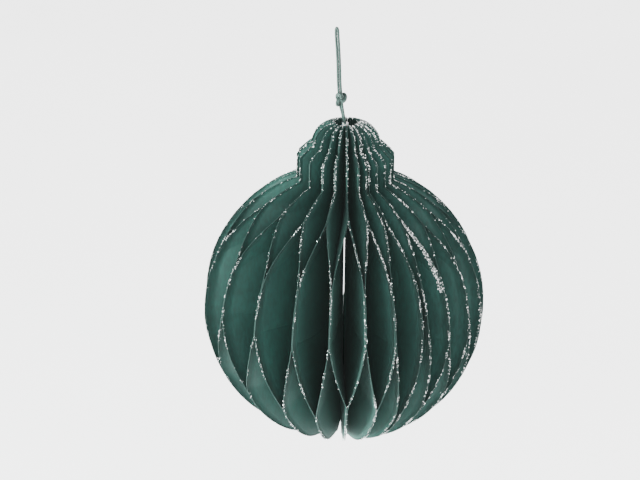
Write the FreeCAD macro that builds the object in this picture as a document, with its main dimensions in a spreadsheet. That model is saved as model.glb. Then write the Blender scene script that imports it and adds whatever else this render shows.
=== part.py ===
"""Paper honeycomb ball: a bauble of 24 folded paper sheets on a cord.

Each sheet is die-cut to the bauble's outline and folded down the middle, so it has two leaves.
The right leaf of one sheet is glued to the left leaf of the next, and the pairs stand round a
hollow spine like the pages of a book that is opened until its covers meet.  Folding every
crease shuts the ball flat.  Two pairs of small magnets hold the covers together.

Millimetres, +Z up.  The origin is the top of the hanging loop, where a hook carries the ball.
"""
import FreeCAD
import Part
import Sketcher
import math
import os

from FreeCAD import Placement, Rotation, Vector

DRIVING = [
    ("sheet_count", 24, "folded sheets round the spine"),
    ("ball_radius", 60.0, "radius of the ball"),
    ("paper_thick", 0.3, "thickness of the paper"),
    ("fold_half_gap", 0.45, "from the middle of a glued pair to the fold beside it"),
    ("collar_radius", 20.4, "radius of the collar above the ball"),
    ("collar_rise", 67.0, "top of the collar's side, above the ball's centre"),
    ("ledge_radius", 15.9, "where the flat ledge round the dome ends"),
    ("ledge_rise", 71.5, "height of that ledge, above the ball's centre"),
    ("dome_radius", 9.3, "radius of the dome's round edge"),
    ("dome_flat", 5.1, "where the dome's flat top ends"),
    ("throat_rise", 74.5, "top of the folds, where the dome dips to the spine"),
    ("foot_reach", 11.0, "where the ball's foot starts to rise to the spine"),
    ("foot_fall", 56.4, "foot of the folds, below the ball's centre"),
    ("seam_angle", 27.4, "where the covers meet, anticlockwise from the front"),
    ("cover_lean", 1.2, "angle from the seam to each cover"),
    ("wide_share", 0.56, "how much wider the widest fold stands open"),
    ("widest_fold", 18.8, "where that fold is, counted in sheets"),
    ("wide_spread", 1.65, "how many sheets away that fades"),
    ("narrow_share", 0.17, "how much narrower the narrowest fold stands"),
    ("narrowest_fold", 24.2, "where that fold is, counted in sheets"),
    ("narrow_spread", 1.25, "how many sheets away that fades"),
    ("hang_drop", 121.5, "the ball's centre below the top of the loop"),
    ("hang_offset", 4.35, "the ball's axis to the right of the top of the loop"),
    ("magnet_radius", 2.0, "radius of a closing magnet"),
    ("magnet_thick", 0.4, "thickness of a closing magnet"),
    ("upper_reach", 23.0, "from the axis to the middle of an upper magnet"),
    ("upper_rise", 51.5, "height of the upper magnets, above the ball's centre"),
    ("lower_reach", 42.0, "from the axis to the middle of a lower magnet"),
    ("lower_rise", -37.5, "the same height for the lower magnets"),
    ("cord_diameter", 1.0, "diameter of the cord"),
    ("knot_width", 5.0, "width of the knot"),
    ("knot_tall", 6.8, "height of the knot"),
    ("knot_x", 1.85, "middle of the knot, to the right of the top of the loop"),
    ("knot_drop", 30.7, "middle of the knot, below the top of the loop"),
    ("glue_radius", 1.12, "radius of the bead of glue round the cord's ends"),
    ("glue_tall", 8.0, "height of that bead"),
    ("glue_reach", 2.45, "from the axis to the bead's middle"),
    ("glue_drop", 50.0, "the bead's lower end, below the top of the loop"),
]

# The cord goes up from the spine, through the knot, round the loop and back down beside itself.
CORD_ROUTE = [
    (3.55, 2.75, -50.0),
    (3.55, 2.30, -45.5),
    (3.40, 1.35, -41.3),
    (2.60, 0.60, -37.1),
    (1.45, 0.15, -33.1),
    (1.05, 0.00, -28.5),
    (0.64, 0.02, -23.0),
    (0.46, -0.02, -16.5),
    (0.11, 0.08, -10.5),
    (-0.25, 0.35, -5.8),
    (-0.50, 1.05, -2.9),
    (-0.40, 0.85, -0.5),
    (0.45, -0.85, -0.5),
    (0.60, -1.05, -2.9),
    (0.80, -0.35, -5.8),
    (1.13, -0.08, -10.5),
    (1.48, 0.02, -16.5),
    (1.66, -0.02, -23.0),
    (2.09, 0.00, -28.5),
    (2.51, -0.15, -33.1),
    (3.15, -0.35, -37.1),
    (3.95, 0.38, -41.3),
    (4.10, 1.35, -45.5),
    (4.10, 1.80, -50.0),
]

doc = FreeCAD.newDocument("HoneycombBall")
sizes = doc.addObject("Spreadsheet::Sheet", "Sizes")


def put_size(row, alias, value, note):
    """One driving dimension, with its alias, in a row of the sheet."""
    sizes.set(f"A{row}", alias)
    sizes.set(f"B{row}", f"{value:g}")
    sizes.setAlias(f"B{row}", alias)
    sizes.set(f"C{row}", note)


for number, (alias, value, note) in enumerate(DRIVING, start=1):
    put_size(number, alias, value, note)
doc.recompute()


def size(alias):
    """The value of a cell of the sheet."""
    return float(sizes.get(alias))


SHEETS = int(size("sheet_count"))
AXIS = Vector(size("hang_offset"), 0, -size("hang_drop"))


def nearness(sheet, place, spread):
    """1 at a place round the spine, fading to 0 some sheets away from it."""
    away = (sheet - size(place) + SHEETS / 2) % SHEETS - SHEETS / 2
    return math.exp(-((away / size(spread)) ** 2))


def fold_share(sheet):
    """How far a sheet stands open, beside an ordinary one."""
    wider = size("wide_share") * nearness(sheet, "widest_fold", "wide_spread")
    narrower = size("narrow_share") * nearness(sheet, "narrowest_fold", "narrow_spread")
    return 1 + wider - narrower


SHARES = sum(fold_share(sheet) for sheet in range(1, SHEETS + 1))


def fold_opening(sheet):
    """How far a sheet would stand open, in degrees, if the covers had no thickness."""
    return 360 * fold_share(sheet) / SHARES


def plane_angles():
    """The angle of each cover and glued pair, anticlockwise from +X, in order round the spine."""
    angle = size("seam_angle") - 90
    angles = [angle + size("cover_lean")]
    for sheet in range(1, SHEETS):
        angle += fold_opening(sheet)
        angles.append(angle)
    angles.append(size("seam_angle") + 270 - size("cover_lean"))
    return angles


ANGLES = plane_angles()
for sheet in range(1, SHEETS + 1):
    opening = ANGLES[sheet] - ANGLES[sheet - 1]
    alias = f"opening_{sheet:02d}"
    put_size(len(DRIVING) + sheet, alias, opening, "degrees that this sheet stands open")
doc.recompute()


def outline(sketch, spine, sheet):
    """Half of the bauble's outline, from the fold to the edge, fixed by named constraints."""
    ball, collar, ledge = size("ball_radius"), size("collar_radius"), size("ledge_rise")
    dome, flat = size("dome_radius"), size("dome_flat")
    top, throat = ledge + dome, size("throat_rise")
    shoulder = math.sqrt(ball**2 - collar**2)
    foot, fall = size("foot_reach"), size("foot_fall")
    bottom = -math.sqrt(ball**2 - foot**2)
    up = Vector(0, 0, 1)

    def line(x0, y0, x1, y1):
        return sketch.addGeometry(Part.LineSegment(Vector(x0, y0, 0), Vector(x1, y1, 0)), False)

    def arc(x, y, radius, start, end):
        circle = Part.Circle(Vector(x, y, 0), up, radius)
        return sketch.addGeometry(Part.ArcOfCircle(circle, start, end), False)

    def rule(*what):
        return sketch.addConstraint(Sketcher.Constraint(*what))

    def bound(name, formula, *what):
        index = rule(*what)
        sketch.renameConstraint(index, name)
        sketch.setExpression(f"Constraints.{name}", formula)

    quarter = math.pi / 2
    fold = line(spine, -fall, spine, throat)
    crown = line(spine, throat, flat, top)
    dome_arc = arc(flat, ledge, dome, 0, quarter)
    ledge_line = line(flat + dome, ledge, size("ledge_radius"), ledge)
    slope = line(size("ledge_radius"), ledge, collar, size("collar_rise"))
    side = line(collar, size("collar_rise"), collar, shoulder)
    ball_arc = arc(0, 0, ball, math.atan2(bottom, foot), math.atan2(shoulder, collar))
    foot_line = line(foot, bottom, spine, -fall)

    rule("Coincident", fold, 2, crown, 1)
    rule("Coincident", crown, 2, dome_arc, 2)
    rule("Coincident", dome_arc, 1, ledge_line, 1)
    rule("Coincident", ledge_line, 2, slope, 1)
    rule("Coincident", slope, 2, side, 1)
    rule("Coincident", side, 2, ball_arc, 2)
    rule("Coincident", ball_arc, 1, foot_line, 1)
    rule("Coincident", foot_line, 2, fold, 1)
    rule("Vertical", fold)
    rule("Vertical", side)
    rule("Horizontal", ledge_line)
    rule("Vertical", dome_arc, 3, dome_arc, 2)
    rule("Horizontal", dome_arc, 3, dome_arc, 1)
    rule("Coincident", ball_arc, 3, -1, 1)
    half = f"Sizes.opening_{sheet:02d} / 2 * 1 deg"
    bound("spine_radius", f"Sizes.fold_half_gap / tan({half})", "DistanceX", -1, 1, fold, 1, spine)
    bound("ball_radius", "Sizes.ball_radius", "Radius", ball_arc, ball)
    bound("dome_radius", "Sizes.dome_radius", "Radius", dome_arc, dome)
    bound("throat_rise", "Sizes.throat_rise", "DistanceY", -1, 1, fold, 2, throat)
    bound("foot_fall", "Sizes.foot_fall", "DistanceY", fold, 1, -1, 1, fall)
    bound("dome_flat", "Sizes.dome_flat", "DistanceX", -1, 1, dome_arc, 3, flat)
    bound("ledge_rise", "Sizes.ledge_rise", "DistanceY", -1, 1, dome_arc, 3, ledge)
    reach = size("ledge_radius")
    bound("ledge_radius", "Sizes.ledge_radius", "DistanceX", -1, 1, ledge_line, 2, reach)
    bound("collar_radius", "Sizes.collar_radius", "DistanceX", -1, 1, side, 1, collar)
    rise = size("collar_rise")
    bound("collar_rise", "Sizes.collar_rise", "DistanceY", -1, 1, side, 1, rise)
    bound("foot_reach", "Sizes.foot_reach", "DistanceX", -1, 1, ball_arc, 1, foot)


def leaf(name, sheet, plane, on_the_left):
    """Half of a folded sheet: a flat plate in the plane of its cover or glued pair."""
    body = doc.addObject("PartDesign::Body", name)
    body.Label = name
    sketch = body.newObject("Sketcher::SketchObject", name + "_outline")
    upright = next(f for f in body.Origin.OriginFeatures if f.Role == "XZ_Plane")
    sketch.AttachmentSupport = [(upright, "")]
    sketch.MapMode = "FlatFace"
    half = math.radians(ANGLES[sheet] - ANGLES[sheet - 1]) / 2
    outline(sketch, size("fold_half_gap") / math.tan(half), sheet)
    pad = body.newObject("PartDesign::Pad", name + "_paper")
    pad.Profile = sketch
    pad.setExpression("Length", "Sizes.paper_thick")
    pad.Reversed = on_the_left
    body.Placement = Placement(AXIS, Rotation(Vector(0, 0, 1), ANGLES[plane]))
    return body


def magnets(name, plane, side):
    """Two disc magnets on the outer face of a cover, one above the other."""
    face = "0" if side > 0 else "-Sizes.magnet_thick"
    discs = []
    for level in ("upper", "lower"):
        disc = doc.addObject("Part::Cylinder", f"{name}_{level}")
        disc.Placement = Placement(Vector(0, 0, 0), Rotation(Vector(1, 0, 0), -90))
        disc.setExpression("Radius", "Sizes.magnet_radius")
        disc.setExpression("Height", "Sizes.magnet_thick")
        disc.setExpression("Placement.Base.x", f"Sizes.{level}_reach")
        disc.setExpression("Placement.Base.y", face)
        disc.setExpression("Placement.Base.z", f"Sizes.{level}_rise")
        discs.append(disc)
    pair = doc.addObject("Part::Compound", name)
    pair.Label = name
    pair.Links = discs
    pair.Placement = Placement(AXIS, Rotation(Vector(0, 0, 1), ANGLES[plane]))
    return pair


def knot():
    """The overhand knot that both strands of the cord make above the dome."""
    solid = doc.addObject("Part::Ellipsoid", "knot")
    solid.Label = "knot"
    solid.setExpression("Radius1", "Sizes.knot_tall / 2")
    solid.setExpression("Radius2", "Sizes.knot_width / 2")
    solid.setExpression("Radius3", "Sizes.knot_width / 2")
    solid.setExpression("Placement.Base.x", "Sizes.knot_x")
    solid.setExpression("Placement.Base.z", "-Sizes.knot_drop")
    return solid


def glue_bead(plane):
    """The bead of glue that holds the cord's two ends to the fold edges of the back pair."""
    solid = doc.addObject("Part::Cylinder", "cord_glue_bead")
    solid.Label = "cord_glue_bead"
    solid.setExpression("Radius", "Sizes.glue_radius")
    solid.setExpression("Height", "Sizes.glue_tall")
    turn = math.radians(ANGLES[plane])
    out = Vector(math.cos(turn), math.sin(turn), 0) * size("glue_reach")
    low = Vector(AXIS.x, 0, -size("glue_drop"))
    solid.Placement = Placement(low + out, Rotation())
    return solid


def rounded_path(points):
    """Straight runs joined by tangent arcs, each arc as large as its two runs allow."""
    points = [Vector(*p) for p in points]
    edges, radii, here = [], [], points[0]
    for before, corner, after in zip(points, points[1:], points[2:]):
        back, ahead = before - corner, after - corner
        shorter = min(back.Length, ahead.Length)
        back.normalize()
        ahead.normalize()
        turn = math.pi - back.getAngle(ahead)
        trim = 0.45 * shorter
        radius = trim / math.tan(turn / 2)
        radii.append(radius)
        start, end = corner + back * trim, corner + ahead * trim
        middle = (back + ahead).normalize()
        middle = corner + middle * (radius / math.cos(turn / 2) - radius)
        edges.append(Part.LineSegment(here, start).toShape())
        edges.append(Part.Arc(start, middle, end).toShape())
        here = end
    edges.append(Part.LineSegment(here, points[-1]).toShape())
    return Part.Wire(edges), radii


def cord():
    """The cord as one tube, with its length and its bends printed."""
    path, radii = rounded_path(CORD_ROUTE)
    radius = size("cord_diameter") / 2
    start = Vector(*CORD_ROUTE[0])
    along = Vector(*CORD_ROUTE[1]) - start
    ring = Part.Wire(Part.makeCircle(radius, start, along))
    tube = path.makePipeShell([ring], True, False)
    ends = tube.isValid() and tube.Volume / (math.pi * radius**2 * path.Length)
    print(f"cord: {path.Length:.1f} mm, tightest arc {min(radii):.2f} mm, fill {ends:.4f}")
    solid = doc.addObject("Part::Feature", "cord")
    solid.Label = "cord"
    solid.Shape = tube
    solid.Placement = Placement()
    return solid


parts = []
for sheet in range(1, SHEETS + 1):
    parts.append(leaf(f"sheet_{sheet:02d}_left_leaf", sheet, sheet - 1, True))
    parts.append(leaf(f"sheet_{sheet:02d}_right_leaf", sheet, sheet, False))
parts.append(magnets("left_cover_magnets", 0, -1))
parts.append(magnets("right_cover_magnets", SHEETS, 1))
parts.append(cord())
parts.append(knot())
parts.append(glue_bead(SHEETS // 2))
doc.recompute()

for item in doc.Objects:
    if "Invalid" in item.State or "Error" in item.State:
        raise RuntimeError(f"{item.Name}: {item.State}")
for part in parts:
    if part.Shape.isNull() or not part.Shape.isValid() or part.Shape.Volume <= 0:
        raise RuntimeError(f"{part.Label} has no valid solid")

os.makedirs("parts", exist_ok=True)
for part in parts:
    part.Shape.exportStep(f"parts/{part.Label}.step")
print(f"{len(parts)} sub-parts")
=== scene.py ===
import math
import random

import bpy
from mathutils import Matrix, Vector, noise


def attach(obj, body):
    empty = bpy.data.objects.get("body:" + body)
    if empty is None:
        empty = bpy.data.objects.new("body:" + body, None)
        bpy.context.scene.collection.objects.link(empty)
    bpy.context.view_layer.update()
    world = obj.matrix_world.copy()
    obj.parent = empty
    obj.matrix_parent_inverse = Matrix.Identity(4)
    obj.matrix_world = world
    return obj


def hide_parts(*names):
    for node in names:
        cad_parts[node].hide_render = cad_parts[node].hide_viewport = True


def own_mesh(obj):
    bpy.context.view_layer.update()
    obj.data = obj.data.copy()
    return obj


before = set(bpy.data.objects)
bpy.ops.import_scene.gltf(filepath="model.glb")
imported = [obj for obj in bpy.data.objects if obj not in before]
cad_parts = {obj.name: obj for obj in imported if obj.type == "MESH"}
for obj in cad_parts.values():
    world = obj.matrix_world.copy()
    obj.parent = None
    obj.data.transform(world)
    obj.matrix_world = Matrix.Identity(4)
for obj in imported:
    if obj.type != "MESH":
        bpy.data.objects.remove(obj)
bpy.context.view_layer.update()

MM = 0.001

# ---------------------------------------------------------------- sizes, in millimetres
SHEETS = 24
AXIS = Vector((4.35, 0.0, -121.5))
FOLD_HALF_GAP = 0.45
SEAM_ANGLE = 27.4
COVER_LEAN = 1.2
WIDE_SHARE = 0.56
WIDEST_FOLD = 18.8
WIDE_SPREAD = 1.65
NARROW_SHARE = 0.17
NARROWEST_FOLD = 24.2
NARROW_SPREAD = 1.25

BALL_RADIUS = 60.0
COLLAR_RADIUS = 20.4
COLLAR_RISE = 67.0
LEDGE_RADIUS = 15.9
LEDGE_RISE = 71.5
DOME_RADIUS = 9.3
DOME_FLAT = 5.1
THROAT_RISE = 74.5
FOOT_REACH = 11.0
FOOT_FALL = 56.4
FOOT_TRIM = 2.5
TRIM_REACH = 33.0
TRIM_ANGLE = -118.0
TRIM_SPREAD = 27.0

PAPER_THICK = 0.3
COLUMNS = 12
BELLY = 0.5
BELLY_PER_MM = 0.02
RIPPLE = 0.5
RIPPLE_PER_MM = 0.045
EDGE_ROUGH = 0.16

# Heights of the glue, above the ball's centre. Rows one and three are where the two leaves of a
# glued pair part and meet again; row two is where the leaves of neighbouring pairs touch.
# The lists give the ones that differ: rows one and three by pair, row two by sheet.
ROW_ONE = 47.0
ROW_ONE_OF = {
    19: 48.4, 20: 47.8, 21: 48.5, 22: 49.0, 23: 48.4, 24: 46.9,
    0: 47.3, 1: 49.0, 2: 44.9,
}
ROW_TWO_TOP = 24.0
ROW_TWO_FOOT = 3.5
ROW_TWO_OF = {
    19: 6.0, 20: 4.7, 21: 2.9, 22: 4.5, 23: 4.4, 24: 3.5,
    1: 10.0, 2: 0.0,
}
ROW_THREE = -30.0
ROW_THREE_OF = {
    18: -27.0, 19: -24.8, 20: -29.3, 21: -30.7, 22: -24.3, 23: -26.8, 24: -31.0,
    0: -31.0, 1: -31.4,
}
CONTACT_GAP = 0.17
OPEN_SHEET = 1
OPEN_SHARE = 0.80

# Glitter: the band on one leaf's face, and the flakes along every cut edge.
BAND_SHEET = 2
BAND_TOP = 49.0
BAND_FOOT = 20.0
BAND_WIDTH = 3.2
BAND_PER_MM = 11.0
GLITTER_PER_MM = 2.8
FLAKE_SMALL = 0.22
FLAKE_LARGE = 0.50
GLITTER_SIDE = -32.0

CORD_DIAMETER = 1.0
CORD_PLIES = 3
CORD_TWIST = 1.9
CORD_SIDES = 18
CORD_STEP = 0.22
CORD_ROUTE = [
    (3.55, 2.75, -50.0),
    (3.55, 2.30, -45.5),
    (3.40, 1.35, -41.3),
    (2.60, 0.60, -37.1),
    (1.45, 0.15, -33.1),
    (1.05, 0.00, -28.5),
    (0.64, 0.02, -23.0),
    (0.46, -0.02, -16.5),
    (0.11, 0.08, -10.5),
    (-0.25, 0.35, -5.8),
    (-0.50, 1.05, -2.9),
    (-0.40, 0.85, -0.5),
    (0.45, -0.85, -0.5),
    (0.60, -1.05, -2.9),
    (0.80, -0.35, -5.8),
    (1.13, -0.08, -10.5),
    (1.48, 0.02, -16.5),
    (1.66, -0.02, -23.0),
    (2.09, 0.00, -28.5),
    (2.51, -0.15, -33.1),
    (3.15, -0.35, -37.1),
    (3.95, 0.38, -41.3),
    (4.10, 1.35, -45.5),
    (4.10, 1.80, -50.0),
]
KNOT_CENTRE = Vector((1.85, 0.0, -30.7))
KNOT_WIDE = 5.0
KNOT_TALL = 6.8
KNOT_TURN = 20.0
KNOT_STRAND = 0.52
KNOT_BESIDE = 0.44
KNOT_STEPS = 150
KNOT_SIDES = 14
GLUE_REACH = 2.45
GLUE_RADIUS = 1.12
GLUE_TALL = 9.2
GLUE_MIDDLE = -45.4
GLUE_SPREAD = 0.95
GLUE_LEAN = 1.1

FLOOR_DEPTH = -420.0
FLOOR_REACH = 6000.0
# Strength of the paper's painted glow, which lifts its shade.
PAPER_PAINTED_GLOW = 0.016
# Strength of the glitter's painted glints, a glow on every flake.
GLITTER_PAINTED_GLINT = 0.7


# ---------------------------------------------------------------- camera
FOCAL = 112.5
CAMERA_BACK = 786.17
CAMERA_UP = 346.74
PITCH = 22.08
YAW = 0.755
ROLL = 0.6


def make_camera():
    """Looks at the bauble a little from above, from far enough to flatten it."""
    data = bpy.data.cameras.new("camera")
    data.lens = FOCAL
    data.sensor_width = 36.0
    data.clip_start = 0.02
    data.clip_end = 20.0
    camera = bpy.data.objects.new("camera", data)
    bpy.context.scene.collection.objects.link(camera)
    camera.location = (AXIS + Vector((0, -CAMERA_BACK, CAMERA_UP))) * MM
    turn = Matrix.Rotation(math.radians(YAW), 4, "Z")
    tip = Matrix.Rotation(math.radians(90 - PITCH), 4, "X")
    roll = Matrix.Rotation(math.radians(ROLL), 4, "Z")
    camera.rotation_euler = (turn @ tip @ roll).to_euler()
    bpy.context.scene.camera = camera


make_camera()


# ---------------------------------------------------------------- materials
def new_material(name):
    """A material with its Principled shader, its node tree and a place for its links."""
    material = bpy.data.materials.new(name)
    material.use_nodes = True
    tree = material.node_tree
    shader = tree.nodes["Principled BSDF"]
    return material, tree, shader


def noise_node(tree, scale, detail, stretch=(1, 1, 1)):
    """A noise texture in the object's own metres."""
    place = tree.nodes.new("ShaderNodeTexCoord")
    mapping = tree.nodes.new("ShaderNodeMapping")
    mapping.inputs["Scale"].default_value = stretch
    grain = tree.nodes.new("ShaderNodeTexNoise")
    grain.inputs["Scale"].default_value = scale
    grain.inputs["Detail"].default_value = detail
    tree.links.new(place.outputs["Object"], mapping.inputs["Vector"])
    tree.links.new(mapping.outputs["Vector"], grain.inputs["Vector"])
    return grain


def ramp_node(tree, source, stops):
    """Colours over a texture's value."""
    ramp = tree.nodes.new("ShaderNodeValToRGB")
    elements = ramp.color_ramp.elements
    while len(elements) < len(stops):
        elements.new(0.5)
    for element, (at, colour) in zip(elements, stops):
        element.position = at
        element.color = (*colour, 1)
    tree.links.new(source, ramp.inputs["Fac"])
    return ramp


def add_bump(tree, shader, sources, distance, strength):
    """Raises the surface by the sum of some textures."""
    total = sources[0].outputs["Fac"]
    for source in sources[1:]:
        add = tree.nodes.new("ShaderNodeMath")
        add.operation = "ADD"
        tree.links.new(total, add.inputs[0])
        tree.links.new(source.outputs["Fac"], add.inputs[1])
        total = add.outputs[0]
    bump = tree.nodes.new("ShaderNodeBump")
    bump.inputs["Distance"].default_value = distance
    bump.inputs["Strength"].default_value = strength
    tree.links.new(total, bump.inputs["Height"])
    tree.links.new(bump.outputs["Normal"], shader.inputs["Normal"])


def add_roughness(tree, shader, source, low, high):
    """Roughness that follows a texture."""
    spread = tree.nodes.new("ShaderNodeMapRange")
    spread.inputs["To Min"].default_value = low
    spread.inputs["To Max"].default_value = high
    tree.links.new(source.outputs["Fac"], spread.inputs["Value"])
    tree.links.new(spread.outputs["Result"], shader.inputs["Roughness"])


def paper_material():
    """Bottle green paper with fibres and cloudy dye; a faint painted glow lifts its shade in place
    of the light it lets through.
    """
    material, tree, shader = new_material("green_paper")
    clouds = noise_node(tree, 55.0, 4.0)
    fibres = noise_node(tree, 900.0, 5.0, (1.0, 1.0, 0.35))
    grain = noise_node(tree, 3200.0, 3.0)
    dye = ramp_node(
        tree,
        clouds.outputs["Fac"],
        [(0.30, (0.0056, 0.036, 0.030)), (0.70, (0.0088, 0.050, 0.041))],
    )
    threads = ramp_node(
        tree,
        fibres.outputs["Fac"],
        [(0.35, (0.80, 0.80, 0.80)), (0.62, (1.18, 1.16, 1.14))],
    )
    mix = tree.nodes.new("ShaderNodeMix")
    mix.data_type = "RGBA"
    mix.blend_type = "MULTIPLY"
    mix.inputs["Factor"].default_value = 1.0
    tree.links.new(dye.outputs["Color"], mix.inputs[6])
    tree.links.new(threads.outputs["Color"], mix.inputs[7])
    tree.links.new(mix.outputs[2], shader.inputs["Base Color"])
    add_roughness(tree, shader, fibres, 0.62, 0.85)
    add_bump(tree, shader, [fibres, grain], 0.00006, 0.55)
    shader.inputs["Specular IOR Level"].default_value = 0.4
    # Painted glow: a faint grey-green emission lifts the paper's shade, in place of light let
    # through it.
    shader.inputs["Emission Color"].default_value = (0.55, 0.62, 0.60, 1)
    shader.inputs["Emission Strength"].default_value = PAPER_PAINTED_GLOW
    return material


def edge_material():
    """The cut edge: the paper's paler core, roughened by the knife."""
    material, tree, shader = new_material("cut_edge")
    chips = noise_node(tree, 1500.0, 3.0)
    colour = ramp_node(
        tree,
        chips.outputs["Fac"],
        [(0.38, (0.006, 0.020, 0.017)), (0.66, (0.018, 0.036, 0.032))],
    )
    tree.links.new(colour.outputs["Color"], shader.inputs["Base Color"])
    add_roughness(tree, shader, chips, 0.7, 0.95)
    add_bump(tree, shader, [chips], 0.00008, 0.6)
    shader.inputs["Specular IOR Level"].default_value = 0.2
    return material


def glitter_material():
    """Silver glitter: flakes that differ a little from one another, made bright by painted glints.
    """
    material, tree, shader = new_material("silver_glitter")
    tint = noise_node(tree, 1100.0, 1.0)
    colour = ramp_node(
        tree,
        tint.outputs["Fac"],
        [(0.35, (0.90, 0.93, 0.92)), (0.60, (1.0, 1.0, 0.99))],
    )
    tree.links.new(colour.outputs["Color"], shader.inputs["Base Color"])
    add_roughness(tree, shader, tint, 0.12, 0.35)
    shader.inputs["Metallic"].default_value = 0.3
    # Painted glints: a white emission makes every flake glow, in place of the light it catches.
    shader.inputs["Emission Color"].default_value = (1, 1, 1, 1)
    shader.inputs["Emission Strength"].default_value = GLITTER_PAINTED_GLINT
    return material


def cord_material():
    """Grey-green cotton cord."""
    material, tree, shader = new_material("green_cord")
    fibres = noise_node(tree, 2600.0, 4.0, (1.0, 1.0, 0.25))
    colour = ramp_node(
        tree,
        fibres.outputs["Fac"],
        [(0.32, (0.006, 0.022, 0.018)), (0.66, (0.020, 0.047, 0.040))],
    )
    tree.links.new(colour.outputs["Color"], shader.inputs["Base Color"])
    add_roughness(tree, shader, fibres, 0.7, 0.92)
    add_bump(tree, shader, [fibres], 0.00008, 0.7)
    shader.inputs["Sheen Weight"].default_value = 0.15
    return material


def glue_material():
    """Cloudy dried glue."""
    material, tree, shader = new_material("dried_glue")
    clouds = noise_node(tree, 420.0, 3.0)
    colour = ramp_node(
        tree,
        clouds.outputs["Fac"],
        [(0.35, (0.50, 0.55, 0.51)), (0.65, (0.72, 0.76, 0.72))],
    )
    tree.links.new(colour.outputs["Color"], shader.inputs["Base Color"])
    add_roughness(tree, shader, clouds, 0.22, 0.42)
    add_bump(tree, shader, [clouds], 0.0002, 0.4)
    shader.inputs["Subsurface Weight"].default_value = 0.25
    shader.inputs["Subsurface Scale"].default_value = 0.001
    return material


def magnet_material():
    """Nickel plating with fine scratches."""
    material, tree, shader = new_material("nickel_magnet")
    scratches = noise_node(tree, 1900.0, 4.0, (0.15, 1.0, 1.0))
    colour = ramp_node(
        tree,
        scratches.outputs["Fac"],
        [(0.35, (0.55, 0.56, 0.57)), (0.65, (0.74, 0.74, 0.73))],
    )
    tree.links.new(colour.outputs["Color"], shader.inputs["Base Color"])
    add_roughness(tree, shader, scratches, 0.18, 0.34)
    add_bump(tree, shader, [scratches], 0.00003, 0.3)
    shader.inputs["Metallic"].default_value = 1.0
    return material


PAPER = paper_material()
EDGE = edge_material()
GLITTER = glitter_material()
CORD = cord_material()
GLUE = glue_material()
MAGNET = magnet_material()


# ---------------------------------------------------------------- making pieces
def new_piece(name, points, faces, materials, face_slots=None, smooth=True):
    """A mesh object from points in millimetres."""
    mesh = bpy.data.meshes.new(name)
    mesh.from_pydata([tuple(point * MM) for point in points], [], faces)
    for material in materials:
        mesh.materials.append(material)
    if face_slots:
        mesh.polygons.foreach_set("material_index", face_slots)
    mesh.polygons.foreach_set("use_smooth", [smooth] * len(faces))
    mesh.update()
    piece = bpy.data.objects.new(name, mesh)
    bpy.context.scene.collection.objects.link(piece)
    return piece


# ---------------------------------------------------------------- cord and knot
def spline_points(route):
    """The points of the smooth line that a route's points pull into shape."""
    curve = bpy.data.curves.new("route", "CURVE")
    curve.dimensions = "3D"
    curve.resolution_u = 12
    spline = curve.splines.new("NURBS")
    spline.points.add(len(route) - 1)
    for point, place in zip(spline.points, route):
        point.co = (place[0] * MM, place[1] * MM, place[2] * MM, 1)
    spline.order_u = 3
    spline.use_endpoint_u = True
    line = bpy.data.objects.new("route", curve)
    bpy.context.scene.collection.objects.link(line)
    mesh = bpy.data.meshes.new_from_object(line)
    points = [vertex.co / MM for vertex in mesh.vertices]
    bpy.data.objects.remove(line)
    bpy.data.meshes.remove(mesh)
    return points


def even_points(points, step):
    """The same line with its points evenly spaced."""
    lengths = [0.0]
    for a, b in zip(points, points[1:]):
        lengths.append(lengths[-1] + (b - a).length)
    count = max(2, round(lengths[-1] / step))
    found = []
    at = 0
    for i in range(count + 1):
        goal = lengths[-1] * i / count
        while at < len(points) - 2 and lengths[at + 1] < goal:
            at += 1
        span = max(lengths[at + 1] - lengths[at], 1e-9)
        found.append(points[at].lerp(points[at + 1], min(1.0, (goal - lengths[at]) / span)))
    return found


def ply_tube(line, radius, plies, turn_per_mm, sides, closed=False):
    """The points and faces of a twisted cord that follows a line, its plies standing proud."""
    count = len(line)
    points = []
    faces = []
    across = None
    walked = 0.0
    for i, place in enumerate(line):
        ahead = line[(i + 1) % count] if closed else line[min(i + 1, count - 1)]
        behind = line[i - 1] if closed or i > 0 else line[0]
        along = (ahead - behind).normalized()
        if across is None:
            across = along.orthogonal().normalized()
        across = (across - along * across.dot(along)).normalized()
        other = along.cross(across)
        walked += (place - behind).length
        for j in range(sides):
            angle = 2 * math.pi * j / sides
            lobe = abs(math.cos(0.5 * plies * (angle - walked * turn_per_mm)))
            reach = radius * (0.92 + 0.13 * lobe)
            points.append(place + (across * math.cos(angle) + other * math.sin(angle)) * reach)
    rings = count if closed else count - 1
    for i in range(rings):
        for j in range(sides):
            a = i * sides + j
            b = i * sides + (j + 1) % sides
            c = ((i + 1) % count) * sides
            faces.append((a, b, c + (j + 1) % sides, c + j))
    if not closed:
        faces.append(tuple(reversed(range(sides))))
        faces.append(tuple(range((count - 1) * sides, count * sides)))
    return points, faces


def make_cord():
    """The doubled hanging cord: one length, up one side, over the top and down the other."""
    line = even_points(spline_points(CORD_ROUTE), CORD_STEP)
    points, faces = ply_tube(line, CORD_DIAMETER / 2, CORD_PLIES, CORD_TWIST, CORD_SIDES)
    cord = new_piece("hanging_cord", points, faces, [CORD])
    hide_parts("cord")
    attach(cord, "glued_pair_12")
    return cord, line


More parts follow.
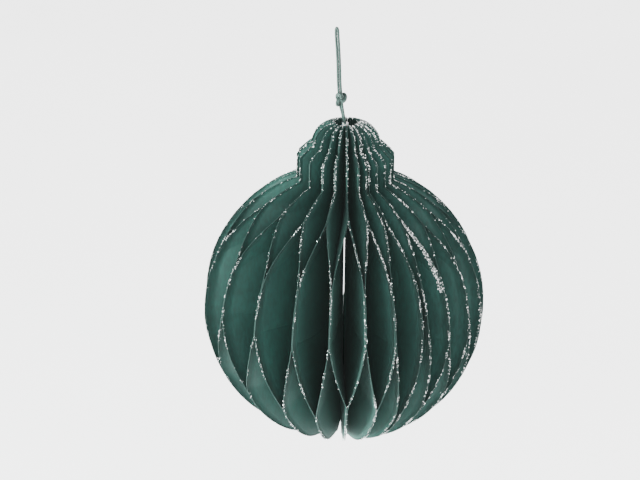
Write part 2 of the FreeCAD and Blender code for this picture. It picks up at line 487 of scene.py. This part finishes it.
def make_knot():
    """The overhand knot of the doubled cord, as two strands that run round it side by side."""
    points = []
    faces = []
    strand = KNOT_STRAND
    beside = KNOT_BESIDE
    wide = (KNOT_WIDE / 2 - strand - beside * 0.7) / 3.0
    tall = (KNOT_TALL / 2 - strand - beside * 0.7) / 3.0
    for side in (-1, 1):
        line = []
        for i in range(KNOT_STEPS):
            t = 2 * math.pi * i / KNOT_STEPS
            centre = Vector((
                (math.sin(t) + 2 * math.sin(2 * t)) * wide,
                -math.sin(3 * t) * 1.15 + 0.15 * math.sin(t),
                (math.cos(t) - 2 * math.cos(2 * t)) * tall,
            ))
            centre.rotate(Matrix.Rotation(math.radians(KNOT_TURN), 3, "Y"))
            sideways = Vector((centre.x, 0, centre.z)).normalized()
            lean = Vector((0, 1, 0)) * (0.35 * math.cos(3 * t))
            line.append(KNOT_CENTRE + centre + (sideways + lean) * (side * beside))
        more, shell = ply_tube(line, strand, CORD_PLIES, CORD_TWIST, KNOT_SIDES, closed=True)
        faces.extend(tuple(k + len(points) for k in face) for face in shell)
        points.extend(more)
    knot = new_piece("cord_knot", points, faces, [CORD])
    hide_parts("knot")
    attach(knot, "glued_pair_12")
    return knot


cord, cord_line = make_cord()
knot = make_knot()


# ---------------------------------------------------------------- the folded sheets
def nearness(sheet, place, spread):
    """1 at a place round the spine, fading to 0 some sheets away from it."""
    away = (sheet - place + SHEETS / 2) % SHEETS - SHEETS / 2
    return math.exp(-((away / spread) ** 2))


def fold_share(sheet):
    """How far a sheet stands open, beside an ordinary one."""
    wider = WIDE_SHARE * nearness(sheet, WIDEST_FOLD, WIDE_SPREAD)
    return 1 + wider - NARROW_SHARE * nearness(sheet, NARROWEST_FOLD, NARROW_SPREAD)


def plane_angles():
    """The angle of each cover and glued pair, anticlockwise from +X, in order round the spine."""
    shares = [fold_share(sheet) for sheet in range(1, SHEETS + 1)]
    angle = SEAM_ANGLE - 90
    angles = [angle + COVER_LEAN]
    for share in shares[:-1]:
        angle += 360 * share / sum(shares)
        angles.append(angle)
    angles.append(SEAM_ANGLE + 270 - COVER_LEAN)
    return angles


ANGLES = plane_angles()


def smooth(t):
    """An even rise from 0 to 1."""
    t = min(1.0, max(0.0, t))
    return t * t * (3 - 2 * t)


def edge_line():
    """The bauble's edge from the top of the dome to its foot, as (radius, height)."""
    points = []
    dome_steps = 9
    for i in range(dome_steps + 1):
        turn = math.pi / 2 * (1 - i / dome_steps)
        across = DOME_FLAT + DOME_RADIUS * math.cos(turn)
        points.append((across, LEDGE_RISE + DOME_RADIUS * math.sin(turn)))
    points.append((LEDGE_RADIUS, LEDGE_RISE - 0.12))
    points.append((LEDGE_RADIUS + 0.12, LEDGE_RISE - 0.25))
    points.append((COLLAR_RADIUS - 0.1, COLLAR_RISE + 0.1))
    points.append((COLLAR_RADIUS, COLLAR_RISE - 0.2))
    shoulder = math.sqrt(BALL_RADIUS**2 - COLLAR_RADIUS**2)
    for share in (0.35, 0.7, 0.97):
        points.append((COLLAR_RADIUS, COLLAR_RISE + (shoulder - COLLAR_RISE) * share))
    start = math.atan2(shoulder, COLLAR_RADIUS)
    end = -math.acos(FOOT_REACH / BALL_RADIUS)
    ball_steps = 66
    for i in range(ball_steps + 1):
        turn = start + (end - start) * i / ball_steps
        points.append((BALL_RADIUS * math.cos(turn), BALL_RADIUS * math.sin(turn)))
    return points


EDGE_LINE = edge_line()
DOME_TOP = EDGE_LINE[0][1]
FOOT_LOW = EDGE_LINE[-1][1]


def bow(height, row_one, row_two, row_three, full):
    """How far a leaf's edge has swung to its neighbour, from 0 where pairs are glued to full."""
    if height >= row_one or height <= row_three:
        return 0.0
    if height > ROW_TWO_TOP:
        t = (row_one - height) / (row_one - ROW_TWO_TOP)
        return full * (1 - (1 - t) ** 2)
    if height >= row_two:
        return full
    t = (row_two - height) / (row_two - row_three)
    return full * (1 - t + 0.10 * math.sin(math.pi * t))


class Leaf:
    """Half of a folded sheet, from its fold to its cut edge."""

    def __init__(self, sheet, on_the_left):
        self.sheet = sheet
        self.side = 1 if on_the_left else -1
        self.plane = sheet - 1 if on_the_left else sheet
        self.angle = math.radians(ANGLES[self.plane])
        self.opening = math.radians(ANGLES[sheet] - ANGLES[sheet - 1])
        self.word = "left" if on_the_left else "right"
        self.name = f"sheet_{sheet:02d}_{self.word}_leaf"
        luck = random.Random(f"leaf {self.name}")
        shared = random.Random(f"sheet {sheet}")
        pair = random.Random(f"pair {self.plane}")
        self.row_one = ROW_ONE_OF.get(self.plane, ROW_ONE + pair.uniform(-1.6, 1.6))
        self.row_three = ROW_THREE_OF.get(self.plane, ROW_THREE + pair.uniform(-1.8, 1.8))
        self.row_two = ROW_TWO_OF.get(sheet, ROW_TWO_FOOT + shared.uniform(-1.5, 1.5))
        self.full = OPEN_SHARE if sheet == OPEN_SHEET else 1.0
        self.meet = shared.uniform(-0.06, 0.06)
        self.wave = luck.uniform(0, 100)
        along = Vector((math.cos(self.angle), math.sin(self.angle), 0))
        self.along = along
        self.aside = Vector((-along.y, along.x, 0)) * self.side
        half = math.tan(self.opening / 2)
        self.spine = FOLD_HALF_GAP / half
        self.fold = AXIS + along * self.spine + self.aside * FOLD_HALF_GAP
        away = (ANGLES[self.plane] - TRIM_ANGLE + 180) % 360 - 180
        self.trim = FOOT_TRIM * math.exp(-((away / TRIM_SPREAD) ** 2))

    def raised(self, radius, height):
        """The height of a point of the outline once the foot of the leaf is trimmed."""
        if height > 0:
            return height
        return height + self.trim * smooth((TRIM_REACH - radius) / TRIM_REACH * 1.6)

    def swing(self, height, full=1.0):
        """How far the leaf has bowed at a height, from 0 to full."""
        return bow(height, self.row_one, self.row_two, self.row_three, full)

    def inner(self, height):
        """Where the leaf begins at a height: at its fold, or on the slope of its crown or foot."""
        if height > THROAT_RISE:
            t = (height - THROAT_RISE) / (DOME_TOP - THROAT_RISE)
            return t * (DOME_FLAT - self.spine)
        foot = -FOOT_FALL + self.trim
        low = FOOT_LOW + self.trim
        if height < foot:
            t = (foot - height) / (foot - low)
            return t * (FOOT_REACH - self.spine)
        return 0.0

    def start(self, height):
        """The middle of the paper at the inner end of a row."""
        return self.fold + self.along * self.inner(height) + Vector((0, 0, height))

    def edge(self, radius, height):
        """The middle of the paper at the cut edge."""
        rest = PAPER_THICK / 2
        most = radius * (self.opening / 2 * (1 + self.side * self.meet)) - CONTACT_GAP
        aside = rest + max(0.0, most - rest) * self.swing(height, self.full)
        turn = aside / max(radius, 1.0)
        rough = EDGE_ROUGH * noise.noise(Vector((height * 0.9, self.wave, 0)))
        reach = radius + rough * min(1.0, radius / 20)
        place = self.along * (reach * math.cos(turn)) + self.aside * (reach * math.sin(turn))
        return AXIS + place + Vector((0, 0, height))

    def across(self, start, end):
        """The direction through the paper, away from the pair's plane."""
        run = end - start
        return Vector((-run.y, run.x, 0)).normalized() * self.side


def leaf_mesh(leaf):
    """Both faces and the cut edge of a leaf, the face away from its pair's plane first."""
    points = []
    faces = []
    slots = []
    rows = len(EDGE_LINE)
    half = PAPER_THICK / 2
    wave = Vector((leaf.wave, 0, 0))
    for face in (1, -1):
        for radius, height in EDGE_LINE:
            height = leaf.raised(radius, height)
            start = leaf.start(height)
            end = leaf.edge(radius, height)
            through = leaf.across(leaf.fold + Vector((0, 0, height)), end)
            swing = leaf.swing(height)
            for j in range(COLUMNS + 1):
                u = j / COLUMNS
                belly = math.sin(math.pi * u) * swing * (BELLY + BELLY_PER_MM * height)
                bump = noise.noise((end - AXIS) * RIPPLE_PER_MM * u + wave)
                ripple = bump * RIPPLE * math.sin(math.pi * u)
                middle = start.lerp(end, u) + through * (belly + ripple * swing)
                points.append(middle + through * (half * face))
    side = rows * (COLUMNS + 1)
    for i in range(rows - 1):
        for j in range(COLUMNS):
            a = i * (COLUMNS + 1) + j
            b = a + COLUMNS + 1
            front = (a, b, b + 1, a + 1)
            back = (side + a, side + a + 1, side + b + 1, side + b)
            if leaf.side > 0:
                front = tuple(reversed(front))
                back = tuple(reversed(back))
            faces.append(front)
            faces.append(back)
            slots.extend((0, 0))
    border = [i * (COLUMNS + 1) + COLUMNS for i in range(rows)]
    border = list(range(COLUMNS + 1)) + border[1:]
    border += [(rows - 1) * (COLUMNS + 1) + j for j in range(COLUMNS - 1, -1, -1)]
    border += [i * (COLUMNS + 1) for i in range(rows - 2, -1, -1)]
    for a, b in zip(border, border[1:]):
        rim = (a, b, side + b, side + a)
        faces.append(rim if leaf.side > 0 else tuple(reversed(rim)))
        slots.append(1)
    return points, faces, slots


def add_flake(points, faces, slots, place, size, luck):
    """One six-sided flake of glitter, turned at random."""
    first = Vector((luck.gauss(0, 1), luck.gauss(0, 1), luck.gauss(0, 1))).normalized()
    second = first.orthogonal().normalized()
    third = first.cross(second)
    start = len(points)
    for i in range(6):
        turn = math.pi / 3 * i
        points.append(place + (second * math.cos(turn) + third * math.sin(turn)) * size / 2)
    faces.append(tuple(range(start, start + 6)))
    slots.append(2)


def glitter_share(leaf, height):
    """How thickly glitter lies along the edge: in patches, and thicker on the bauble's right."""
    right = math.cos(leaf.angle - math.radians(GLITTER_SIDE))
    patch = noise.noise(Vector((height * 0.16, leaf.wave * 3.1, 5.0)))
    return max(0.03, 0.25 + 2.4 * patch) * (1.0 + 1.3 * max(0.0, right) ** 2)


def add_glitter(leaf, points, faces, slots):
    """Flakes along the cut edge, and the band that one leaf has on its face."""
    luck = random.Random(f"glitter {leaf.name}")
    for (r0, z0), (r1, z1) in zip(EDGE_LINE, EDGE_LINE[1:]):
        length = math.hypot(r1 - r0, z1 - z0)
        height = (z0 + z1) / 2
        wanted = length * GLITTER_PER_MM * glitter_share(leaf, height)
        banded = leaf.sheet == BAND_SHEET and leaf.side > 0 and BAND_FOOT < height < BAND_TOP
        if banded:
            wanted = length * BAND_PER_MM
        for _ in range(int(wanted + luck.random())):
            t = luck.random()
            radius = r0 + (r1 - r0) * t
            z = leaf.raised(radius, z0 + (z1 - z0) * t)
            end = leaf.edge(radius, z)
            run = leaf.fold + Vector((0, 0, z)) - end
            inward = run.normalized()
            through = leaf.across(leaf.fold + Vector((0, 0, z)), end)
            if banded:
                spread = luck.uniform(0, BAND_WIDTH)
                face = -1
            else:
                spread = abs(luck.gauss(0, 0.35))
                face = luck.choice((-1, 1))
            place = end + inward * (spread - 0.05) + through * (face * PAPER_THICK * 0.6)
            add_flake(points, faces, slots, place, luck.uniform(FLAKE_SMALL, FLAKE_LARGE), luck)


def make_leaf(sheet, on_the_left):
    """One leaf, with its glitter, riding on its glued pair or cover."""
    leaf = Leaf(sheet, on_the_left)
    points, faces, slots = leaf_mesh(leaf)
    add_glitter(leaf, points, faces, slots)
    piece = new_piece("paper_" + leaf.name, points, faces, [PAPER, EDGE, GLITTER], slots)
    body = "left_cover" if leaf.plane == 0 else f"glued_pair_{leaf.plane:02d}"
    if leaf.plane == SHEETS:
        body = "right_cover"
    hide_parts(leaf.name)
    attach(piece, body)
    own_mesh(piece)


for sheet in range(1, SHEETS + 1):
    make_leaf(sheet, True)
    make_leaf(sheet, False)


# ---------------------------------------------------------------- glue and magnets
def make_glue():
    """The lumpy bead of hot glue round the ends of the cord, pressed against two fold edges."""
    turn = math.radians(ANGLES[SHEETS // 2])
    out = Vector((math.cos(turn), math.sin(turn), 0)) * GLUE_REACH
    centre = Vector((AXIS.x, AXIS.y, GLUE_MIDDLE)) + out
    rings = 26
    sides = 30
    points = [centre + Vector((0, 0, -GLUE_TALL / 2))]
    for i in range(1, rings):
        dip = math.pi * i / rings
        for j in range(sides):
            around = 2 * math.pi * j / sides
            flat = math.sin(dip) ** 0.55
            spot = Vector((math.cos(around) * flat, math.sin(around) * flat, -math.cos(dip)))
            lump = 0.90 + 0.17 * noise.noise(spot * 1.9 + Vector((3.0, 7.0, 1.0)))
            wide = GLUE_RADIUS * (1 + GLUE_SPREAD * smooth(spot.z))
            reach = Vector((spot.x * wide, spot.y * wide, spot.z * GLUE_TALL / 2))
            lean = out.normalized() * (-GLUE_LEAN * smooth(spot.z))
            points.append(centre + reach * lump + lean)
    points.append(centre + Vector((0, 0, GLUE_TALL / 2)) - out.normalized() * GLUE_LEAN)
    faces = [(0, 1 + (j + 1) % sides, 1 + j) for j in range(sides)]
    for i in range(rings - 2):
        for j in range(sides):
            a = 1 + i * sides + j
            b = 1 + i * sides + (j + 1) % sides
            faces.append((a, b, b + sides, a + sides))
    last = len(points) - 1
    faces += [(last, last - sides + j, last - sides + (j + 1) % sides) for j in range(sides)]
    glue = new_piece("glue_on_cord_ends", points, faces, [GLUE])
    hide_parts("cord_glue_bead")
    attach(glue, "glued_pair_12")


make_glue()
for node in ("left_cover_magnets", "right_cover_magnets"):
    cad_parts[node].data.materials.clear()
    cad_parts[node].data.materials.append(MAGNET)


# ---------------------------------------------------------------- studio
def make_floor():
    """A plain pale floor, well below the hanging bauble."""
    material, tree, shader = new_material("pale_floor")
    clouds = noise_node(tree, 3.0, 2.0)
    colour = ramp_node(
        tree,
        clouds.outputs["Fac"],
        [(0.3, (0.93, 0.93, 0.93)), (0.7, (0.96, 0.96, 0.96))],
    )
    tree.links.new(colour.outputs["Color"], shader.inputs["Base Color"])
    shader.inputs["Roughness"].default_value = 0.9
    shader.inputs["Specular IOR Level"].default_value = 0.1
    corners = [
        Vector((x * FLOOR_REACH, y * FLOOR_REACH, FLOOR_DEPTH))
        for x, y in ((-1, -1), (1, -1), (1, 1), (-1, 1))
    ]
    floor = new_piece("floor", corners, [(0, 1, 2, 3)], [material])


def area_light(name, place, target, width, power, colour=(1, 1, 1)):
    """A square soft box that faces a point. Places are in millimetres."""
    data = bpy.data.lights.new(name, "AREA")
    data.shape = "SQUARE"
    data.size = width * MM
    data.energy = power
    data.color = colour
    light = bpy.data.objects.new(name, data)
    bpy.context.scene.collection.objects.link(light)
    light.location = Vector(place) * MM
    light.rotation_euler = (Vector(target) - Vector(place)).to_track_quat("-Z", "Y").to_euler()


def make_world(strength):
    """An even white surround."""
    world = bpy.data.worlds.new("studio")
    bpy.context.scene.world = world
    world.use_nodes = True
    background = world.node_tree.nodes["Background"]
    background.inputs["Color"].default_value = (1, 1, 1, 1)
    background.inputs["Strength"].default_value = strength


make_floor()
make_world(1.2)
area_light("top_left", (-500, -300, 700), AXIS, 600, 8.0)
area_light("low_left", (-700, -250, -380), AXIS, 300, 52.0, (0.74, 1.0, 0.93))
area_light("right", (800, -300, 100), AXIS, 500, 6.0)
area_light("front", (60, -1000, 260), AXIS, 600, 6.0)
area_light("floor_wash", (0, 0, -230), (0, 0, FLOOR_DEPTH), 5000, 230.0)
